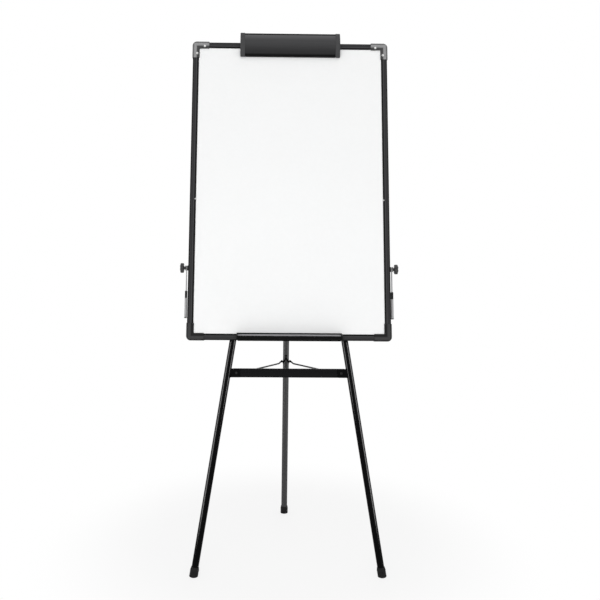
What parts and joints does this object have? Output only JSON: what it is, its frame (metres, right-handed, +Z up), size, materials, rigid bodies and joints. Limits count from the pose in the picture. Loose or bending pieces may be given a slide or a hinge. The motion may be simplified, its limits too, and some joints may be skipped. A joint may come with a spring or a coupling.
{
  "type": "whiteboard easel",
  "caption": "Whiteboard easel: upright framed board on a folding tripod, with a pad clamp on top, a pen tray below and a swinging arm on each side.",
  "frame": {"origin": "under the middle of the part, on the floor", "axes": "+Z up, the board faces -Y, +X to the right of someone facing the board"},
  "size_m": [0.6474, 0.479, 1.5918],
  "materials": {
    "rail": "dark satin",
    "corner_plastic": "moulded",
    "white_enamel": "glossy white",
    "fibreboard": "plain",
    "back_steel": "dull grey",
    "screw_steel": "bright",
    "rod_steel": "black",
    "black_plastic": "moulded",
    "black_paint": "glossy black",
    "clamp_paint": "satin",
    "rubber": "matt",
    "arm_metal": "satin grey"
  },
  "bodies": {
    "board_frame": {"top_rail": "rail", "bottom_rail": "rail", "left_rail": "rail", "right_rail": "rail", "writing_surface": "white_enamel", "board_core": "fibreboard", "back_sheet": "back_steel", "corner_top_left": "corner_plastic", "corner_top_right": "corner_plastic", "corner_bottom_left": "corner_plastic", "corner_bottom_right": "corner_plastic", "rail_screws": "screw_steel", "front_leg_left": "black_paint", "front_leg_right": "black_paint", "front_leg_ends": "rubber", "crossbar": "black_paint", "crossbar_bracket_left": "black_paint", "crossbar_bracket_right": "black_paint", "crossbar_screws": "screw_steel", "board_clip_left": "black_plastic", "board_clip_right": "black_plastic", "board_screws": "screw_steel", "head_front_plate": "black_paint", "head_clevis": "black_paint", "head_bolts": "screw_steel", "rear_hinge_pin": "screw_steel", "clamp_base": "black_paint", "clamp_axle": "screw_steel", "clamp_springs": "screw_steel", "clamp_screws": "screw_steel", "arm_studs": "screw_steel", "arm_spacers": "arm_metal"},
    "rear_leg": {"rear_leg": "black_paint", "rear_leg_ends": "rubber", "spreader_saddle": "black_paint", "rear_leg_rivets": "screw_steel"},
    "spreader": {"spreader_rod_left": "rod_steel", "spreader_rod_right": "rod_steel"},
    "clamp_jaw": {"clamp_cover": "clamp_paint", "clamp_cap_left": "corner_plastic", "clamp_cap_right": "corner_plastic", "clamp_pad": "rubber"},
    "tray": {"pen_tray": "rail", "tray_cap_left": "black_plastic", "tray_cap_right": "black_plastic"},
    "arm_left": {"arm_strap_left": "arm_metal"},
    "arm_slide_left": {"arm_guide_left": "black_plastic", "arm_channel_left": "arm_metal", "arm_tip_left": "black_plastic"},
    "knob_left": {"arm_knob_left": "arm_metal"},
    "arm_right": {"arm_strap_right": "arm_metal"},
    "arm_slide_right": {"arm_guide_right": "black_plastic", "arm_channel_right": "arm_metal", "arm_tip_right": "black_plastic"},
    "knob_right": {"arm_knob_right": "arm_metal"}
  },
  "joints": [
    {"name": "rear_leg_fold", "type": "hinge", "parent": "board_frame", "child": "rear_leg", "pos_m": [0, 0.03176, 1.51934], "axis": [-1, 0, 0], "range_deg": [0, 15.8]},
    {"name": "spreader_swing", "type": "hinge", "parent": "board_frame", "child": "spreader", "pos_m": [0, -0.1291, 0.56064], "axis": [1, 0, 0], "range_deg": [0, 83.74]},
    {"name": "clamp_open", "type": "hinge", "parent": "board_frame", "child": "clamp_jaw", "pos_m": [0, -0.0245, 1.57246], "axis": [-1, 0, 0], "range_deg": [0, 14], "stiffness_Nm_per_rad": 1, "springref_deg": -20.05},
    {"name": "tray_slide", "type": "slide", "parent": "board_frame", "child": "tray", "axis": [1, 0, 0], "range_m": [-0.09, 0.09]},
    {"name": "arm_swing_left", "type": "hinge", "parent": "board_frame", "child": "arm_left", "pos_m": [-0.30525, -0.11516, 0.86908], "axis": [-1, 0, 0], "range_deg": [0, 180]},
    {"name": "arm_extend_left", "type": "slide", "parent": "arm_left", "child": "arm_slide_left", "axis": [0, -0.1513, -0.9885], "range_m": [0, 0.045]},
    {"name": "knob_turn_left", "type": "hinge", "parent": "board_frame", "child": "knob_left", "pos_m": [-0.31325, -0.11516, 0.86908], "axis": [1, 0, 0], "continuous": true},
    {"name": "arm_swing_right", "type": "hinge", "parent": "board_frame", "child": "arm_right", "pos_m": [0.30525, -0.11516, 0.86908], "axis": [-1, 0, 0], "range_deg": [0, 180]},
    {"name": "arm_extend_right", "type": "slide", "parent": "arm_right", "child": "arm_slide_right", "axis": [0, -0.1513, -0.9885], "range_m": [0, 0.045]},
    {"name": "knob_turn_right", "type": "hinge", "parent": "board_frame", "child": "knob_right", "pos_m": [0.31325, -0.11516, 0.86908], "axis": [1, 0, 0], "continuous": true}
  ],
  "couplings": [
    {"joint": "spreader_swing", "follows": "rear_leg_fold", "ratio": 5.3}
  ]
}
